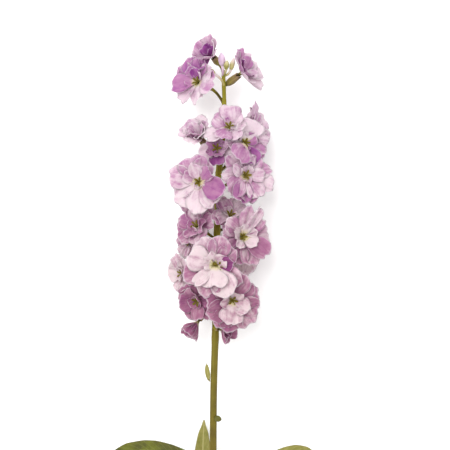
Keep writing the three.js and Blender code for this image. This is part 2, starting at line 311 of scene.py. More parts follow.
def petal_finish():
    material, tree = new_finish("lilac_petal")
    place, across, along = place_on_piece(tree)
    violet = attribute(tree, "violet")
    seed = attribute(tree, "seed")
    body = solid_place(tree)
    off_middle = sum_of(tree, "ABSOLUTE", sum_of(tree, "SUBTRACT", across, 0.5))
    from_middle = sum_of(tree, "MULTIPLY", off_middle, 2.0)

    shifted = tree.nodes.new("ShaderNodeVectorMath")
    shifted.operation = "ADD"
    tree.links.new(place, shifted.inputs[0])
    tree.links.new(seed, shifted.inputs[1])
    fine_veins = grain(tree, stretched(tree, shifted.outputs["Vector"], (34, 2.2, 1)), 1.0, 2.0, 0.6)
    broad_veins = grain(tree, stretched(tree, shifted.outputs["Vector"], (9, 1.1, 1)), 1.0, 3.0, 0.6)
    patches = grain(tree, body, 160.0, 3.0, 0.6)

    depth = sum_of(tree, "ADD", violet, fade(tree, patches, 0.35, 0.7, -0.14, 0.14))
    depth = sum_of(tree, "ADD", depth, fade(tree, fine_veins, 0.4, 0.66, -0.03, 0.05))
    depth = sum_of(tree, "ADD", depth, fade(tree, broad_veins, 0.35, 0.7, -0.06, 0.08))
    pale_to_lilac = fade(tree, depth, 0.0, 0.5)
    lilac_to_violet = fade(tree, depth, 0.42, 1.0)
    split = tree.nodes.new("ShaderNodeSeparateXYZ")
    tree.links.new(body, split.inputs[0])
    high = fade(tree, split.outputs["Y"], 0.01, 0.15)
    colour = blend_of(tree, pale_to_lilac, blend_of(tree, high, WHITE_LOW, WHITE_HIGH),
                      blend_of(tree, high, LILAC_LOW, LILAC_HIGH))
    colour = blend_of(tree, lilac_to_violet, colour, blend_of(tree, high, VIOLET_LOW, VIOLET_HIGH))

    # the pale rim along the tip and the sides, partly the petal's own paler edge and partly painted
    # highlight
    rim = sum_of(tree, "MAXIMUM", fade(tree, along, 0.93, 1.0), fade(tree, from_middle, 0.9, 1.0))
    rim = sum_of(tree, "MULTIPLY", rim, fade(tree, along, 0.3, 0.6))
    colour = blend_of(tree, sum_of(tree, "MULTIPLY", rim, 0.62), colour, PALE_RIM_HIGHLIGHT)
    wander = fade(tree, fine_veins, 0.3, 0.7, -0.05, 0.05)
    height = sum_of(tree, "ADD", along, wander)
    colour = blend_of(tree, fade(tree, height, 0.36, 0.22), colour, CREAM)
    colour = blend_of(tree, fade(tree, height, 0.24, 0.15), colour, CLAW_OLIVE)
    colour = blend_of(tree, fade(tree, height, 0.12, 0.04), colour, CLAW_DARK)
    colour = blend_of(tree, fade(tree, violet, -0.4, -0.9), colour, CLAW_OLIVE)

    relief = sum_of(tree, "ADD", sum_of(tree, "MULTIPLY", fine_veins, 0.5), broad_veins)
    normal = bump_of(tree, relief, 0.35 * MM, 0.5)
    roughness = fade(tree, broad_veins, 0.3, 0.7, 0.5, 0.66)
    living_surface(tree, colour, roughness, normal, glow=0.2, inner=0.2, velvet=0.04)
    return material


petal_material = petal_finish()

# %% [markdown]
# ### The green finishes
#
# Stem, calyx and buds are the same tissue in different tints: a main and a second colour, streaks
# along the growth, and for some a colour of their own at the tip.

# %% Green finishes
def green_finish(name, main, second, streak, streaks, tip=None, roughness=0.55, velvet=0.2, glow=0.0):
    material, tree = new_finish(name)
    place, across, along = place_on_piece(tree)
    body = solid_place(tree)
    lines = grain(tree, stretched(tree, place, streaks), 1.0, 4.0, 0.6)
    clouds = grain(tree, body, 90.0, 4.0, 0.6)
    specks = grain(tree, body, 1400.0, 2.0, 0.5)
    colour = blend_of(tree, fade(tree, clouds, 0.35, 0.68), main, second)
    colour = blend_of(tree, fade(tree, lines, 0.5, 0.75, 0.0, 0.55), colour, streak)
    if tip:
        colour = blend_of(tree, fade(tree, along, 0.35, 0.95, 0.0, 0.9), colour, tip)
    relief = sum_of(tree, "ADD", lines, sum_of(tree, "MULTIPLY", specks, 0.35))
    normal = bump_of(tree, relief, 0.3 * MM, 0.45)
    living_surface(tree, colour, fade(tree, specks, 0.3, 0.7, roughness - 0.08, roughness + 0.1), normal,
                   glow=glow, inner=0.1, velvet=velvet)
    return material


stem_material = green_finish("stem_skin", (0.125, 0.095, 0.003, 1), (0.085, 0.06, 0.002, 1),
                             (0.20, 0.165, 0.015, 1), (14, 3, 1), tip=(0.24, 0.21, 0.006, 1), velvet=0.0)
calyx_material = green_finish("calyx_skin", (0.24, 0.20, 0.03, 1), (0.17, 0.12, 0.035, 1),
                              (0.32, 0.28, 0.06, 1), (9, 2, 1), tip=(0.21, 0.13, 0.07, 1), velvet=0.08)
bud_material = green_finish("bud_skin", (0.30, 0.27, 0.06, 1), (0.20, 0.19, 0.03, 1),
                            (0.46, 0.42, 0.16, 1), (8, 2, 1), tip=(0.58, 0.52, 0.30, 1), velvet=0.08)
cream_material = green_finish("cream_bud_skin", (0.56, 0.48, 0.26, 1), (0.36, 0.32, 0.08, 1),
                              (0.66, 0.58, 0.40, 1), (8, 2, 1), tip=(0.70, 0.58, 0.60, 1), velvet=0.08)
pale_material = green_finish("pale_bud_skin", (0.62, 0.46, 0.60, 1), (0.52, 0.36, 0.50, 1),
                             (0.46, 0.38, 0.22, 1), (8, 2, 1), tip=(0.70, 0.54, 0.68, 1), velvet=0.08)
axil_material = green_finish("axil_bud_skin", (0.10, 0.095, 0.01, 1), (0.06, 0.05, 0.006, 1),
                             (0.18, 0.17, 0.03, 1), (8, 2, 1), velvet=0.02)


# %% [markdown]
# A leaf also has a pale midrib, side veins that leave it at a slant, and a fine grey down.

# %% Leaf finish
def leaf_finish(name, main, second, rib_colour):
    material, tree = new_finish(name)
    place, across, along = place_on_piece(tree)
    body = solid_place(tree)
    off_middle = sum_of(tree, "ABSOLUTE", sum_of(tree, "SUBTRACT", across, 0.5))
    from_middle = sum_of(tree, "MULTIPLY", off_middle, 2.0)
    up_the_leaf = sum_of(tree, "MULTIPLY", along, 16.0)
    slant = sum_of(tree, "SUBTRACT", up_the_leaf, sum_of(tree, "MULTIPLY", from_middle, 2.2))
    wave = sum_of(tree, "SINE", sum_of(tree, "MULTIPLY", slant, 6.283))
    side_veins = fade(tree, wave, 0.86, 1.0)
    clouds = grain(tree, body, 120.0, 4.0, 0.6)
    down = grain(tree, body, 1800.0, 3.0, 0.6)
    colour = blend_of(tree, fade(tree, clouds, 0.35, 0.66), main, second)
    colour = blend_of(tree, sum_of(tree, "MULTIPLY", side_veins, 0.25), colour, rib_colour)
    colour = blend_of(tree, fade(tree, from_middle, 0.13, 0.05, 0.0, 0.8), colour, rib_colour)
    colour = blend_of(tree, fade(tree, down, 0.45, 0.75, 0.0, 0.1), colour, (0.40, 0.42, 0.28, 1))
    specks = sum_of(tree, "MULTIPLY", down, 0.3)
    relief = sum_of(tree, "SUBTRACT", specks, sum_of(tree, "MULTIPLY", side_veins, 0.5))
    living_surface(tree, colour, fade(tree, down, 0.3, 0.7, 0.5, 0.72), bump_of(tree, relief, 0.3 * MM, 0.5),
                   glow=0.12, inner=0.1, velvet=0.05)
    return material


# The left leaf's finish is darker than the others: partly its own deeper green, partly painted shade, as its
# channelled blade is seen from inside.
leaf_material = leaf_finish("leaf_skin", (0.115, 0.125, 0.005, 1), (0.06, 0.06, 0.003, 1),
                            (0.24, 0.25, 0.05, 1))
pale_leaf_material = leaf_finish("pale_leaf_skin", (0.27, 0.25, 0.06, 1), (0.19, 0.18, 0.03, 1),
                                  (0.42, 0.38, 0.15, 1))

# %% [markdown]
# ## One petal
#
# A petal is a flat grid bent in two ways. Along its length it leaves the claw upright, leans out, and
# curls at the tip. Across its width it cups, and either edge may roll. Both bends are sums of small
# steps, as a wire is bent by hand. The grid is doubled into a top and an underside that meet at the
# edges, so that every petal is a thin closed shell with a fine rim.

# %% The flat shell that every petal starts as
def flat_shell(across, along):
    """Two grids, joined round their edges: x is across from -1 to 1, y along from 0 to 1, z the side."""
    shell = bmesh.new()
    uv = shell.loops.layers.uv.new("growth")
    for side in (1, -1):
        made = bmesh.ops.create_grid(shell, x_segments=across, y_segments=along, size=1.0)
        for point in made["verts"]:
            inside = abs(point.co.x) < 0.999 and abs(point.co.y) < 0.999
            point.co.y = (point.co.y + 1) / 2
            point.co.z = side if inside else 0
        faces = {face for point in made["verts"] for face in point.link_faces}
        if side < 0:
            bmesh.ops.reverse_faces(shell, faces=list(faces))
        for face in faces:
            for loop in face.loops:
                loop[uv].uv = ((loop.vert.co.x + 1) / 2, loop.vert.co.y)
    bmesh.ops.remove_doubles(shell, verts=shell.verts[:], dist=1e-5)
    mesh = bpy.data.meshes.new(f"shell_{across}_{along}")
    shell.to_mesh(mesh)
    shell.free()
    return mesh


FINE_SHELL = flat_shell(14, 18)
PLAIN_SHELL = flat_shell(8, 10)
print("faces in one fine petal:", len(FINE_SHELL.polygons))


# %% [markdown]
# Every petal below is one set of wishes: how it turns, leans, curls and cups. A wish that isn't made
# keeps the value given here.

# %% The bends of a petal
def ease(start, end, value):
    share = np.clip((value - start) / (end - start), 0, 1)
    return share * share * (3 - 2 * share)


PETAL = {
    "turn": 0,          # degrees clockwise from the stem's tip, seen from in front
    "lean": 75,         # degrees away from the floret's axis
    "long": 18,         # length, mm
    "wide": 15,         # width, mm
    "curl": 0,          # degrees that the tip goes on bending out, or in if below zero
    "cup": 20,          # degrees that the edges rise
    "roll": (0, 0),     # degrees that the left and the right edge roll over
    "twist": 0,         # degrees
    "sway": 0,          # how far the tip drifts sideways, as a share of the length
    "notch": 0.04,
    "frill": 0.8,       # height of the ruffles, mm
    "fold": 0.7,        # height of the creases, mm
    "claw": 8,          # degrees that the claw leans
    "elbow": (0.02, 0.30),
    "violet": 0.3,      # depth of colour: 0 is white lilac, 1 is violet, and -1 is all olive
    "lift": 0,          # mm up the axis from the seat
    "aside": (0, 0),    # mm right and up from the seat
    "blunt": 0.20,
}


def petal(**wish):
    return {**PETAL, **wish}


def petal_surface(across, along, shape, waves):
    """Where points of the flat shell go: sideways, outward and up the axis, in mm."""
    reach = along * (1 - shape["blunt"] * np.abs(across) ** 2.4 * along ** 2)
    reach = reach - shape["notch"] * np.exp(-((across / 0.2) ** 2)) * along ** 8
    reach = reach + 0.03 * np.sin(3.6 * across + waves[2]) * along ** 3
    reach = reach + 0.009 * np.sin(8 * across + waves[1]) * along ** 5
    width = 0.13 + 0.87 * ease(0.12, 0.64, reach)
    half = 0.5 * shape["wide"] * width * (1 - 0.2 * ease(0.7, 1.1, reach))
    opened = ease(0.1, 0.5, reach)
    left, right = np.radians(shape["roll"])
    steps = 10

    def lean_at(share):
        lean = shape["claw"] + (shape["lean"] - shape["claw"]) * ease(*shape["elbow"], share)
        return np.radians(lean + shape["curl"] * ease(0.5, 1.05, share))

    outward = np.zeros_like(reach)
    upward = np.zeros_like(reach)
    sideways = np.zeros_like(reach)
    raised = np.zeros_like(reach)
    for step in range(steps):
        middle = (step + 0.5) / steps
        lean = lean_at(reach * middle)
        outward += np.sin(lean) * reach / steps
        upward += np.cos(lean) * reach / steps
        edge = across * middle
        slope = np.radians(shape["cup"]) * edge
        slope = opened * (slope + right * ease(0.4, 1, edge) - left * ease(0.4, 1, -edge))
        sideways += np.cos(slope) * across * half / steps
        raised += np.sin(slope) * across * half / steps
    outward *= shape["long"]
    upward *= shape["long"]

    ruffle = np.sin(1.5 * across * math.pi + 2 * along + waves[0]) * 0.55
    ruffle += np.sin(3.1 * across * math.pi - 2.6 * along + waves[1]) * 0.4
    ruffle += np.sin(5.3 * across * math.pi + 4.1 * along + waves[2]) * 0.22
    loose = np.maximum(ease(0.45, 1.0, reach), ease(0.5, 1, np.abs(across)) * opened)
    raised += shape["frill"] * ruffle * loose
    raised += 0.5 * shape["frill"] * np.sin(2.2 * across + 4.5 * along + waves[3]) * ease(0.2, 0.6, reach)
    crease = np.arcsin(np.sin(3.4 * across + 0.8 * along + waves[1])) * 0.6
    crease += np.arcsin(np.sin(6.3 * across - 1.1 * along + waves[3])) * 0.25
    raised += shape["fold"] * crease * ease(0.25, 0.9, reach)
    turn = math.radians(shape["twist"]) * reach
    sideways, raised = (sideways * np.cos(turn) - raised * np.sin(turn),
                        sideways * np.sin(turn) + raised * np.cos(turn))
    sideways = sideways + shape["sway"] * shape["long"] * reach ** 2
    lean = lean_at(reach)
    return sideways, outward - raised * np.cos(lean), upward + raised * np.sin(lean)


# %% [markdown]
# The bent grid still lies in the petal's own directions. The next helper turns it to its place round
# the floret, presses it flat where it would go through the table, and gives it its thickness.

# %% Set a petal in its floret
PETAL_THICKNESS = 0.32 * MM
TABLE_SKIN = 0.3 * MM
SLOPE_STEP = 0.004


def stand_petal(across, along, shape, seat, waves, rest_height):
    sideways, outward, upward = petal_surface(across, along, shape, waves)
    turn = math.radians(shape["turn"])
    out_way = seat["up"] * math.cos(turn) + seat["right"] * math.sin(turn)
    side_way = seat["right"] * math.cos(turn) - seat["up"] * math.sin(turn)
    right, up = shape["aside"]
    points = seat["claw"] + MM * (
        right * seat["right"] + up * seat["up"]
        + outward[:, None] * out_way
        + sideways[:, None] * side_way
        + (upward + shape["lift"])[:, None] * seat["facing"]
    )
    points[:, 2] = np.maximum(points[:, 2], rest_height)
    return points


def add_shell(piece, shell, surface, thickness, values):
    """Adds one closed shell to a bmesh, laid over a surface, with its attribute values."""
    first = len(piece.verts)
    piece.from_mesh(shell)
    piece.verts.ensure_lookup_table()
    fresh = piece.verts[first:]
    flat = np.array([point.co[:] for point in fresh])
    across, along, side = flat.T
    step = SLOPE_STEP
    middle = surface(across, along)
    over = surface(across + step, along) - surface(across - step, along)
    up = surface(across, along + step) - surface(across, along - step)
    way = np.cross(over, up)
    way /= np.maximum(np.linalg.norm(way, axis=1), 1e-12)[:, None]
    edge = (1 - across ** 6) * (1 - along ** 10) * (1 - (1 - along) ** 10)
    points = middle + way * (0.5 * thickness * side * edge)[:, None]
    layers = {name: piece.verts.layers.float.get(name) for name in values}
    for point, place in zip(fresh, points):
        point.co = place
        for name, value in values.items():
            point[layers[name]] = value


def new_piece():
    """An empty bmesh with the layers that the finishes read."""
    piece = bmesh.new()
    piece.loops.layers.uv.new("growth")
    for name in ("violet", "seed"):
        piece.verts.layers.float.new(name)
    return piece


def finish_piece(piece, name, node, slot, *materials):
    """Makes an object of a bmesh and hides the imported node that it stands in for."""
    mesh = bpy.data.meshes.new(name)
    for face in piece.faces:
        face.smooth = True
    piece.to_mesh(mesh)
    piece.free()
    made = bpy.data.objects.new(name, mesh)
    bpy.context.collection.objects.link(made)
    for material in materials:
        mesh.materials.append(material)
    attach(made, "root")
    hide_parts(node)
    print(name, "has", len(made.data.polygons), "faces")


def make_corolla(name, petals, shell, seed):
    seat = seats[name]
    chance = random.Random(seed)
    piece = new_piece()
    for number, shape in enumerate(petals):
        waves = [chance.uniform(0, 2 * math.pi) for _ in range(4)]
        rest_height = TABLE_SKIN * (1 + 0.7 * (number % 7))

        def surface(across, along):
            return stand_petal(across, along, shape, seat, waves, rest_height)

        values = {"violet": shape["violet"], "seed": chance.uniform(0, 9)}
        add_shell(piece, shell, surface, PETAL_THICKNESS, values)
    finish_piece(piece, f"petals_{name}", f"floret_{name}_petals", "petal", petal_material)
    print("petals_" + name, len(petals), "petals")


# %% [markdown]
# ## A double floret
#
# In a double floret the stamens have turned into petals, so there are far more than the four of a
# wild one. Broad petals lie nearly flat round an olive heart, and smaller ones stand over them, cupped
# or rolled. Where a floret faces the eye its petals are listed, one row for each. The smaller
# florets are set in whorls with a little chance in them.

# %% Hearts and whorls
OLIVE = -1


def heart(right=0.0, up=0.0):
    """The olive middle of a floret: five short upright stubs."""
    return [
        petal(turn=72 * number + 20, lean=46, long=4.6, wide=1.5, curl=25, cup=70, frill=0, fold=0,
              violet=OLIVE, lift=2.4, aside=(right, up))
        for number in range(5)
    ]


def rows(*wishes):
    """Petals from rows of turn, lean, length, width and depth of violet, with any further wishes."""
    made = []
    for turn, lean, long, wide, violet, *more in wishes:
        further = more[0] if more else {}
        made.append(petal(turn=turn, lean=lean, long=long, wide=wide, violet=violet, **further))
    return made


def whorl(chance, count, start, **base):
    """Petals spaced round the axis from a start angle, each a little off the wish they share."""
    made = []
    for number in range(count):
        wish = dict(base)
        wish["turn"] = start + 360 * number / count + chance.uniform(-11, 11)
        wish["lean"] = base["lean"] + chance.uniform(-8, 8)
        wish["long"] = base["long"] * chance.uniform(0.88, 1.06)
        wish["wide"] = base["wide"] * chance.uniform(0.86, 1.1)
        wish["cup"] = base.get("cup", 12) + chance.uniform(-16, 16)
        wish["curl"] = base.get("curl", 0) + chance.uniform(-18, 18)
        wish["twist"] = chance.uniform(-18, 18)
        wish["sway"] = chance.uniform(-0.08, 0.08)
        wish["violet"] = min(1, max(0, base["violet"] + chance.uniform(-0.12, 0.14)))
        wish["roll"] = base.get("roll") or (chance.choice((0, 0, 35, 80)), chance.choice((0, 0, 35, 80)))
        made.append(petal(**wish))
    return made


def double_floret(seed, size, violet, lean=80, inner=0.9):
    """Two broad whorls and a few small petals, for a floret of a given radius in mm."""
    chance = random.Random(seed)
    start = chance.uniform(0, 72)
    petals = whorl(chance, 5, start, lean=lean, long=1.2 * size, wide=1.08 * size, violet=violet)
    petals += whorl(chance, 4, start + 35, lean=0.8 * lean, long=1.05 * size, wide=0.9 * size,
                    violet=violet)
    petals += whorl(chance, 3, start + 80, lean=0.55 * lean, long=0.68 * size, wide=0.55 * size,
                    violet=violet * inner, curl=-15, cup=30, frill=0.5)
    return petals + heart()


# %% [markdown]
# The florets that face up are seen full on, so their petals are listed one by one. Each row is one petal:
# its turn, lean, length, width and depth of violet, and sometimes more that is its own.

# %% Florets that face the eye
ROLLED = (110, 110)
PETALS = {
    "mid_left": rows(
        (-17, 78, 18.5, 20, 0.41, dict(frill=0.6)),
        (22, 76, 17, 14, 0.33),
        (-76, 84, 21.5, 15, 0.25, dict(cup=28)),
        (-108, 86, 18, 13, 0.17),
        (-136, 84, 21, 16, 0.12, dict(cup=-8)),
        (180, 84, 22, 16, 0.1, dict(cup=8)),
        (141, 80, 21, 14, 0.17),
        (111, 74, 22, 14.5, 0.65, dict(cup=12, lift=1.2, notch=0)),
        (58, 62, 16.5, 12, 0.5, dict(roll=(0, 115), curl=-35, lift=1)),
        (-10, 60, 14.5, 9, 0.21, dict(lift=1, curl=10, roll=(60, 0))),
        (-62, 62, 13, 9, 0.25),
        (196, 42, 8.5, 7, 0.05, dict(cup=80, curl=-25, frill=0.2)),
        (104, 46, 8.5, 6, 0.11, dict(cup=50)),
    ) + heart(),
    "centre": rows(
        (-30, 82, 20.5, 16, 0.25),
        (16, 82, 20.5, 15, 0.38),
        (52, 82, 18, 13, 0.47),
        (-68, 74, 19.5, 16.5, 0.08, dict(lift=1.5, cup=-12)),
        (-112, 84, 23, 14, 0.35),
        (-133, 64, 20.5, 9, 0.13, dict(roll=(0, 70), lift=1)),
        (-160, 80, 23, 13, 0.27, dict(twist=20)),
        (126, 84, 22, 14, 0.35),
        (152, 78, 24, 17, 0.15, dict(cup=25)),
        (179, 66, 17, 17, 0.05, dict(lift=2, cup=10, notch=0.1)),
        (86, 64, 15, 10, 0.95),
        (62, 50, 11.5, 10, 0.15, dict(curl=20)),
        (-24, 50, 11.5, 9, 0.11),
        (-98, 46, 10, 7.5, 0.05, dict(roll=ROLLED, lift=1)),
    ) + heart(-2.4, 0.6) + heart(2.6, -0.8),
    "right": rows(
        (2, 62, 23, 9.5, 0.32, dict(twist=20)),
        (24, 56, 25, 8.5, 0.22, dict(twist=-25)),
        (48, 66, 19.5, 9, 0.36, dict(twist=15)),
        (80, 80, 19, 13.5, 0.36),
        (110, 84, 20, 15, 0.3),
        (134, 70, 21.5, 16, 0.5, dict(cup=60, lift=1)),
        (164, 80, 21, 14, 0.34),
        (196, 82, 20, 13, 0.4),
        (226, 78, 18, 12.5, 0.44),
        (264, 78, 18, 13.5, 0.5),
        (306, 76, 18, 13.5, 0.34),
        (124, 46, 13, 10, 0.04, dict(roll=(100, 0), lift=1)),
        (218, 50, 12.5, 8, 0.06, dict(roll=(0, 115))),
        (24, 46, 12, 9, 0.1),
        (300, 48, 11.5, 9, 0.1),
        (76, 52, 12.5, 9, 0.1, dict(curl=-30)),
    ) + heart(),
    "low_right": rows(
        (-92, 82, 20, 13, 0.62),
        (-120, 80, 21, 15.5, 0.54),
        (-152, 84, 21, 14, 0.54),
        (183, 86, 22, 15, 0.5),
        (140, 84, 22, 15, 0.4),
        (108, 80, 20, 13.5, 0.44),
        (74, 84, 19, 15, 0.5),
        (42, 80, 18, 14, 0.48),
        (14, 78, 21, 14, 0.48),
        (-42, 76, 18, 13, 0.44),
        (191, 62, 17, 16, 0.18, dict(lift=1.5, cup=-10)),
        (28, 50, 11, 10, 0.17, dict(roll=(0, 95), curl=-35, lift=1)),
        (118, 54, 14, 12, 0.2, dict(lift=0.5)),
        (-82, 52, 12.5, 10, 0.26),
        (156, 46, 9.5, 8, 0.14),
    ) + heart(),
    "mid_right": rows(
        (200, 82, 20.5, 14, 0.74),
        (-132, 80, 19.5, 14, 0.4),
        (-95, 84, 19, 11, 0.21),
        (-50, 86, 19.5, 12, 0.26),
        (176, 84, 19.5, 13, 0.44),
        (153, 76, 18.5, 13, 0.28),
        (111, 84, 21.5, 12, 0.18),
        (76, 82, 19, 10, 0.26),
        (36, 78, 16, 12, 0.32),
        (2, 76, 15, 12, 0.32),
        (-60, 66, 13.5, 10.5, 0.22),
        (92, 64, 14, 9, 0.18),
        (20, 45, 9, 7, 0.18),
        (-34, 45, 8.5, 6.5, 0.22),
        (170, 44, 8, 6, 0.18),
    ) + heart(),
    "top_left": rows(
        (-88, 82, 20, 14, 0.3),
        (-62, 76, 19, 14, 0.36),
        (-20, 72, 18.5, 15, 0.7, dict(cup=35)),
        (14, 70, 17, 13, 0.6),
        (-40, 78, 19, 13, 0.5),
        (100, 80, 19, 16, 0.3),
        (62, 74, 16, 13, 0.22),
        (136, 80, 15, 10, 0.22),
        (-108, 68, 18.5, 14, 0.62, dict(cup=45, lift=1)),
        (-142, 80, 18.5, 12, 0.16),
        (168, 80, 18, 9, 0.1, dict(blunt=0.45)),
        (-4, 46, 12, 8, 0.85, dict(roll=(70, 0))),
        (36, 44, 10.5, 6, 0.15),
        (-86, 50, 11, 8, 0.5),
        (-38, 54, 13, 10, 0.55),
    ) + heart(),
    "top_right": rows(
        (0, 62, 17.5, 12, 0.45),
        (-48, 58, 17, 12, 0.32),
        (52, 62, 17, 12.5, 0.16),
        (100, 70, 18, 13, 0.1),
        (150, 74, 18, 13, 0.12),
        (-104, 54, 16, 14, 0.6, dict(cup=40)),
        (-152, 64, 16, 12, 0.16),
        (24, 38, 14, 10, 0.5),
        (-70, 36, 13, 10, 0.7, dict(roll=(60, 60))),
        (140, 40, 13, 9, 0.2),
        (206, 38, 12, 9, 0.4),
    ),
    "tip": rows(
        (0, 44, 15, 13, 0.3, dict(curl=-30)),
        (70, 42, 14.5, 12, 0.16, dict(curl=-35)),
        (140, 52, 14, 12, 0.3, dict(curl=-20)),
        (205, 84, 16.5, 13.5, 0.66, dict(cup=45)),
        (246, 80, 15, 11, 0.5),
        (-62, 50, 14.5, 13, 0.4, dict(curl=-25)),
        (-100, 60, 14, 11, 0.3),
        (20, 26, 11, 9, 0.9, dict(curl=-25)),
        (150, 24, 10, 8, 0.95, dict(roll=(70, 70))),
        (-80, 26, 10.5, 8, 0.9),
    ),
    "upper_mid": rows(
        (-125, 84, 19, 10, 0.07),
        (150, 78, 13, 11, 0.26),
        (-60, 66, 14, 12, 0.3),
        (38, 60, 14, 11, 0.26),
        (4, 38, 16.5, 14, 0.24, dict(cup=-20, elbow=(0, 0.2))),
        (84, 74, 12.5, 9, 0.16),
        (-152, 72, 13, 13.5, 0.3, dict(lift=1, cup=-15)),
        (-20, 42, 9, 7, 0.5),
        (176, 38, 7, 6, 0.35),
    ) + heart(),
    "upper_right": rows(
        (94, 80, 17.5, 14, 0.26),
        (45, 78, 17.5, 13, 0.16),
        (-46, 74, 16, 13, 0.12),
        (-86, 78, 16, 13, 0.26),
        (130, 82, 17, 13, 0.5),
        (170, 76, 17, 15, 0.85, dict(cup=40)),
        (8, 60, 17.5, 19, 0.0, dict(frill=0.6, lift=1)),
        (-141, 70, 18.5, 15, 0.42, dict(cup=20, lift=2, notch=0)),
        (60, 45, 11, 9, 0.5),
        (-20, 42, 10, 8, 0.08),
        (-170, 40, 9, 7, 0.6),
    ) + heart(),
    "upper_curl": rows(
        (178, 78, 12.5, 10, 0.8),
        (-112, 82, 12.5, 11, 0.08),
        (92, 78, 12, 10, 0.2),
        (0, 52, 10.5, 12, 0.42, dict(roll=(95, 100), curl=-45)),
        (70, 55, 10.5, 12, 0.4, dict(roll=(95, 100), curl=-40)),
        (142, 52, 10.5, 11, 0.45, dict(roll=(100, 90), curl=-45)),
        (214, 56, 11, 12, 0.4, dict(roll=(100, 95), curl=-50)),
        (288, 54, 10.5, 12, 0.35, dict(roll=(90, 100), curl=-40)),
        (30, 30, 7, 6, 0.7),
        (200, 30, 7, 6, 0.7),
    ) + heart(),
}

# %% [markdown]
# The smaller florets are mostly whorls, with single petals added where one stands out.

# %% Smaller florets, in whorls
def cup_floret(seed, count, lean, long, wide, violet, curl=10, inner=0.7):
    """A half-open floret: one whorl that stands up and a shorter one inside it."""
    chance = random.Random(seed)
    start = chance.uniform(0, 72)
    petals = whorl(chance, count, start, lean=lean, long=long, wide=wide,
                   violet=violet, curl=curl, frill=0.6)
    petals += whorl(chance, count - 1, start + 33, lean=0.62 * lean, long=0.82 * long, wide=0.75 * wide,
                    violet=inner, curl=curl / 2, frill=0.5)
    return petals


PETALS.update({
    "mid_violet": double_floret(23, 12.5, 0.4),
    "left_small": double_floret(24, 11, 0.28),
    "mid_behind": double_floret(25, 12.5, 0.3),
    "left_pale": double_floret(26, 12.5, 0.1),
    "low_left": double_floret(27, 13.5, 0.6, lean=72),
    "right_edge": double_floret(22, 12.5, 0.2, lean=70) + rows(
        (-8, 62, 19.5, 12, 0.35),
        (-40, 66, 17, 12, 0.2),
    ),
    "bell": cup_floret(21, 6, 42, 16.5, 13, 0.12, curl=30, inner=0.3),
    "hanging_bud": cup_floret(28, 5, 32, 15, 12, 0.45, curl=-25, inner=0.8),
    "lowest": cup_floret(29, 5, 44, 12, 10, 0.5, curl=0, inner=0.8),
})
for number, (name, petals) in enumerate(PETALS.items()):
    make_corolla(name, petals, FINE_SHELL, 100 + number)

# %% [markdown]
# The florets underneath carry the flower. They face the table, their petals lie pressed on it, and
# they need fewer points because they are seen only from the side.

# %% Florets underneath
for number, name in enumerate(n for n in floret_names if n.startswith("back_")):
    size = seats[name]["radius"] / MM
    make_corolla(name, double_floret(50 + number, size, 0.3), PLAIN_SHELL, 50 + number)


# %% [markdown]
# ## Calyx and stalk
#
# Four narrow sepals stand edge to edge round the foot of each floret, swollen at the base and drawn in
# under the petals. The stalk is a thin tube along a curve that leaves the stem and arrives square to
# the calyx. A tube starts as a flat grid that is rolled up.

# %% Tubes along a curve
def tube_into(piece, middles, radii, sides, rib=0.0, ribs=5):
    """Adds a closed tube through a row of middles to a bmesh."""
    tube = bmesh.new()
    uv = tube.loops.layers.uv.new("growth")
    steps = len(middles) - 1
    bmesh.ops.create_grid(tube, x_segments=sides, y_segments=steps, size=1.0)
    for face in tube.faces:
        for loop in face.loops:
            loop[uv].uv = ((loop.vert.co.x + 1) / 2, (loop.vert.co.y + 1) / 2)
    ways = [unit(middles[min(i + 1, steps)] - middles[max(i - 1, 0)]) for i in range(steps + 1)]
    side = unit(np.cross(ways[0], [0.3, 0.2, 0.9]))
    sides_at = []
    for way in ways:
        side = unit(side - way * side.dot(way))
        sides_at.append(side)
    for point in tube.verts:
        row = round((point.co.y + 1) / 2 * steps)
        angle = math.pi * point.co.x
        radius = radii[row] * (1 + rib * math.cos(ribs * angle))
        over = np.cross(ways[row], sides_at[row])
        point.co = middles[row] + radius * (math.cos(angle) * sides_at[row] + math.sin(angle) * over)
    bmesh.ops.remove_doubles(tube, verts=tube.verts[:], dist=1e-7)
    bmesh.ops.holes_fill(tube, edges=[edge for edge in tube.edges if edge.is_boundary], sides=0)
    mesh = bpy.data.meshes.new("tube")
    tube.to_mesh(mesh)
    tube.free()
    piece.from_mesh(mesh)
    bpy.data.meshes.remove(mesh)


def bezier(start, bend, end, count):
    shares = np.linspace(0, 1, count)[:, None]
    return (1 - shares) ** 2 * start + 2 * shares * (1 - shares) * bend + shares ** 2 * end


def nearest_on_stem(points):
    gaps = np.linalg.norm(points[:, None] - stem_middles[None, :], axis=2)
    a, b = np.unravel_index(gaps.argmin(), gaps.shape)
    return stem_middles[b]


# %% [markdown]
# A sepal is a closed shell like a petal, bent round the floret's axis. The stalk is made first, so
# that its faces can be given the stem's finish before the sepals are added.

# %% Sepals
STALK_RADIUS = 0.9 * MM
SEPAL_THICKNESS = 0.4 * MM
SEPAL_HALF_ANGLE = math.radians(52)
SEPAL_OVERSHOOT = 1.16


def sepal_surface(seat, foot, length, girth, turn):
    """One sepal, as a function from across and along to points, bent round the floret's axis."""
    def surface(across, along):
        belly = np.interp(along, [0, 0.12, 0.4, 0.8, 1.0, 1.2], [0.45, 0.8, 1.0, 0.84, 0.84, 0.95])
        narrowing = 1 - 0.75 * ease(0.72, 1.05, along)
        angle = turn + SEPAL_HALF_ANGLE * across * narrowing
        radius = girth * belly * (1 + 0.06 * np.abs(across) ** 2)
        radius = radius + girth * 0.12 * np.cos(across * math.pi * 1.5)
        height = length * SEPAL_OVERSHOOT * along
        around = np.cos(angle)[:, None] * seat["up"] + np.sin(angle)[:, None] * seat["right"]
        points = foot + height[:, None] * seat["facing"] + radius[:, None] * around
        points[:, 2] = np.maximum(points[:, 2], TABLE_SKIN)
        return points
    return surface


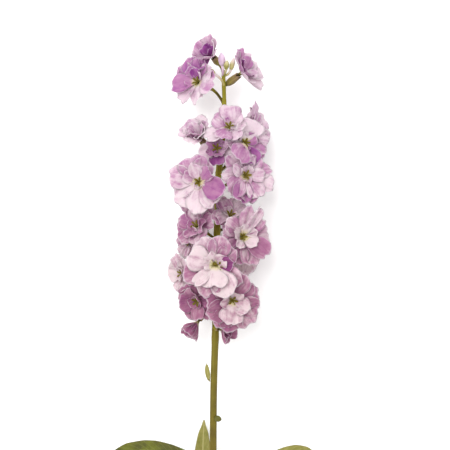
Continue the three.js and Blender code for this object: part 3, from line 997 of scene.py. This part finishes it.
def make_calyx(name):
    seat = seats[name]
    foot = seat["mouth"] - seat["cup"] * seat["facing"]
    node = f"floret_{name}_calyx"
    solid = corners_of(node)
    away = solid - foot
    away = away - (away @ seat["facing"])[:, None] * seat["facing"]
    near_cup = ((solid - foot) @ seat["facing"] > 0.3 * seat["cup"])
    girth = np.linalg.norm(away[near_cup], axis=1).max()
    start = nearest_on_stem(solid)
    reach = np.linalg.norm(foot - start)
    bend = foot - seat["facing"] * 0.5 * reach
    route = bezier(start, bend, foot + seat["facing"] * 0.4 * MM, 14)
    piece = new_piece()
    swell = np.interp(np.linspace(0, 1, 14), [0, 0.15, 0.5, 0.85, 1], [1.35, 1.0, 0.92, 1.05, 1.5])
    tube_into(piece, route, STALK_RADIUS * swell, 12, rib=0.04)
    for face in piece.faces:
        face.material_index = 1  # the stalk wears the stem's finish
    for number in range(4):
        turn = math.radians(45 + 90 * number)
        surface = sepal_surface(seat, foot, seat["cup"], 0.95 * girth, turn)
        add_shell(piece, PLAIN_SHELL, surface, SEPAL_THICKNESS, {"violet": 0.5, "seed": number})
    finish_piece(piece, f"calyx_{name}", node, "calyx", calyx_material, stem_material)


for name in floret_names:
    make_calyx(name)

# %% [markdown]
# ## Stem
#
# The stem is one long tube along the midline measured before. It is faintly ribbed, and it swells a
# little where a stalk leaves it.

# %% Stem
def make_stem():
    count = 240
    shares = np.linspace(0, 1, len(stem_middles))
    fine = np.linspace(0, 1, count)
    middles = np.column_stack([np.interp(fine, shares, stem_middles[:, axis]) for axis in range(3)])
    kernel = np.ones(9) / 9
    for axis in range(3):
        padded = np.pad(middles[:, axis], 4, mode="edge")
        smooth = np.convolve(padded, kernel, mode="valid")
        middles[4:-4, axis] = smooth[4:-4]
    low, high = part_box("stem")
    middles[0][1] = low.y
    middles[-1][1] = high.y
    radii = np.interp(fine, shares, stem_radii)
    for name in floret_names:
        foot = nearest_on_stem(corners_of(f"floret_{name}_calyx"))
        gaps = np.linalg.norm(middles - foot, axis=1)
        radii = radii * (1 + 0.10 * np.exp(-((gaps / (3 * MM)) ** 2)))
    piece = new_piece()
    tube_into(piece, middles, radii, 24, rib=0.035, ribs=6)
    for point in piece.verts:
        point.co.z = max(point.co.z, 0.0)
    finish_piece(piece, "stem_skin", "stem", "stem", stem_material)


make_stem()

# %% [markdown]
# ## Leaves and bract
#
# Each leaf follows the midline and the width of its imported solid. The blade is thin, its edges rise a
# little over the midrib and wave gently. The middle leaf is a third fuller than its solid.

# %% Leaves
def make_leaf(node, axis, name, wave, material, thickness=0.5 * MM, full=1.0):
    middles, edges = midline(node, axis, 24)
    stem_gap = [np.linalg.norm(stem_middles - middles[i], axis=1).min() for i in (0, -1)]
    if stem_gap[0] > stem_gap[1]:
        middles = middles[::-1]
        edges = edges[::-1]
    count = len(middles)
    ways = np.gradient(middles, axis=0)
    ways /= np.linalg.norm(ways, axis=1)[:, None]
    overs = edges[:, 1] - edges[:, 0]
    overs = overs - (overs * ways).sum(axis=1)[:, None] * ways
    halves = full * np.linalg.norm(overs, axis=1) / 2
    overs /= np.maximum(np.linalg.norm(overs, axis=1), 1e-9)[:, None]
    facing_down = np.cross(overs, ways)[:, 2] < 0
    overs[facing_down] *= -1
    ups = np.cross(overs, ways)
    shares = np.linspace(0, 1, count)

    def follow(table, share):
        return np.column_stack([np.interp(share, shares, table[:, i]) for i in range(3)])

    def surface(across, along):
        share = along * (1 - 0.02 * across ** 2)
        middle = follow(middles, share)
        over = follow(overs, share)
        rise_way = follow(ups, share)
        rounding = np.sqrt(np.clip(1.02 - ease(0.9, 1.0, along) * 0.75, 0, 1))
        half = np.interp(share, shares, halves) * rounding
        rise = half * 0.28 * (np.abs(across) ** 1.4 - 0.35)
        ripple = np.sin(along * 26 + across * 1.4) * np.abs(across) ** 2
        rise = rise + wave * MM * ripple * ease(0.1, 0.4, along)
        points = middle + (across * half)[:, None] * over + rise[:, None] * rise_way
        points[:, 2] = np.maximum(points[:, 2], TABLE_SKIN)
        return points

    piece = new_piece()
    add_shell(piece, flat_shell(14, 56), surface, thickness, {"violet": 0, "seed": 0})
    finish_piece(piece, name, node, "leaf", material)
    print(name, "half width in mm:", round(halves.max() / MM, 1))


make_leaf("leaf_left", 0, "left_leaf", 0.5, leaf_material)
make_leaf("leaf_right", 0, "right_leaf", 0.5, pale_leaf_material)
make_leaf("leaf_middle", 1, "middle_leaf", 0.3, pale_leaf_material, full=1.35)
make_leaf("bract", 1, "stem_bract", 0.05, pale_leaf_material, thickness=0.35 * MM)

# %% [markdown]
# ## Buds
#
# A bud is four sepals wrapped shut round folded petals, on a stalk like a floret's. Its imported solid
# gives the tip, the girth and the height of the belly, and the rest follows from those.

# %% Buds
BUD_STALK_RADIUS = 0.7 * MM
BUD_LEVELS = (0, 0.1, 0.35, 0.6, 0.85, 1.0, 1.1)
BUD_WIDTHS = (0.3, 0.65, 1.0, 0.95, 0.55, 0.12, 0.05)


def make_bud(node, material):
    solid = corners_of(node)
    start = nearest_on_stem(solid)
    tip = solid[np.linalg.norm(solid - start, axis=1).argmax()]
    near = solid[np.linalg.norm(solid - tip, axis=1) < 0.45 * np.linalg.norm(tip - start)]
    facing = unit(tip - near.mean(axis=0))
    away = (solid - tip) - ((solid - tip) @ facing)[:, None] * facing
    spread = np.linalg.norm(away, axis=1)
    behind = -(solid - tip) @ facing
    near_tip = behind < 0.6 * np.linalg.norm(tip - start)
    girth = spread[near_tip].max()
    belly = behind[near_tip][spread[near_tip].argmax()]
    length = 2 * belly
    girth = min(girth, 0.38 * length)
    foot = tip - facing * length
    up, right = square_to(facing)
    reach = np.linalg.norm(foot - start)
    route = bezier(start, foot - facing * 0.5 * reach, foot + facing * 0.1 * length, 12)
    piece = new_piece()
    swell = np.interp(np.linspace(0, 1, 12), [0, 0.2, 0.8, 1], [1.3, 1.0, 1.0, 1.4])
    tube_into(piece, route, BUD_STALK_RADIUS * swell, 10)
    for number in range(4):
        turn = math.radians(45 + 90 * number + 12)

        def surface(across, along):
            wide = np.interp(along, BUD_LEVELS, BUD_WIDTHS)
            angle = turn + math.radians(56) * across * (1 - 0.3 * ease(0.7, 1, along))
            radius = girth * wide * (1 + 0.05 * (number % 2)) * (1 - 0.05 * np.abs(across) ** 2)
            around = np.cos(angle)[:, None] * up + np.sin(angle)[:, None] * right
            return foot + (length * along)[:, None] * facing + radius[:, None] * around

        add_shell(piece, PLAIN_SHELL, surface, 0.3 * MM, {"violet": 0.3, "seed": number})
    finish_piece(piece, "closed_" + node, node, "bud", material)
    print(node, "length", round(length / MM, 1), "girth", round(girth / MM, 1))


make_bud("bud_green", bud_material)
make_bud("bud_long", cream_material)
make_bud("bud_cream", cream_material)
make_bud("bud_pale", pale_material)
make_bud("bud_axil", axil_material)

# %% [markdown]
# ## Table, light and camera
#
# The flower lies on a plain pale table under a big soft light, seen straight from above, with the tip
# of the spike at the top.

# %% Table
flower_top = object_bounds()[1].y
table_mesh = bpy.data.meshes.new("table_top")
table_shape = bmesh.new()
bmesh.ops.create_grid(table_shape, x_segments=1, y_segments=1, size=3.0)
table_shape.to_mesh(table_mesh)
table_shape.free()
table = bpy.data.objects.new("table_top", table_mesh)
bpy.context.collection.objects.link(table)
table_finish, table_tree = new_finish("table_paint")
paint = table_tree.nodes.new("ShaderNodeBsdfPrincipled")
paint.inputs["Base Color"].default_value = (0.97, 0.97, 0.97, 1)
paint.inputs["Roughness"].default_value = 0.9
paint.inputs["Specular IOR Level"].default_value = 0.1
output = table_tree.nodes.new("ShaderNodeOutputMaterial")
table_tree.links.new(paint.outputs["BSDF"], output.inputs["Surface"])
table_mesh.materials.append(table_finish)
print("the top of the flower is at", round(flower_top / MM, 1), "mm")

# %% [markdown]
# The light is that of a bright overcast day by a window: an even white room, and one large round lamp
# high on the left that gives the petals their soft shading.

# %% Light
world = bpy.data.worlds.new("soft_room")
world.use_nodes = True
world.node_tree.nodes["Background"].inputs["Color"].default_value = (1.0, 0.995, 0.99, 1)
world.node_tree.nodes["Background"].inputs["Strength"].default_value = 1.22
bpy.context.scene.world = world


def soft_light(name, place, aim, size, power):
    lamp = bpy.data.lights.new(name, "AREA")
    lamp.shape = "DISK"
    lamp.size = size
    lamp.energy = power
    holder = bpy.data.objects.new(name, lamp)
    holder.location = place
    holder.rotation_euler = (Vector(aim) - Vector(place)).to_track_quat("-Z", "Y").to_euler()
    bpy.context.collection.objects.link(holder)


spike_middle = Vector((stem_middles[-1][0], flower_top - 0.1, 0.03))
soft_light("window", spike_middle + Vector((-0.34, 0.36, 1.25)), spike_middle, 0.8, 12.0)
print("lamps:", len(bpy.data.lights))

# %% [markdown]
# The camera looks straight down. Its view is as wide as FIELD at the height of the
# stem, with a little room above the tip.

# %% Camera
FIELD = 0.270
HEADROOM = 0.0212
CAMERA_HEIGHT = 0.9
STEM_OFF_CENTRE = 4.6 * MM
lens = bpy.data.cameras.new("straight_down")
lens.sensor_width = 36
lens.lens = 36 * CAMERA_HEIGHT / FIELD
camera = bpy.data.objects.new("straight_down", lens)
view_y = flower_top + HEADROOM - FIELD / 2
view_x = float(np.interp(view_y, stem_middles[:, 1], stem_middles[:, 0])) + STEM_OFF_CENTRE
stem_height = float(np.interp(view_y, stem_middles[:, 1], stem_middles[:, 2]))
camera.location = (view_x, view_y, stem_height + CAMERA_HEIGHT)
bpy.context.collection.objects.link(camera)
bpy.context.scene.camera = camera
bpy.context.scene.view_settings.view_transform = "Standard"
print("camera over", round(view_x / MM, 1), round(view_y / MM, 1))
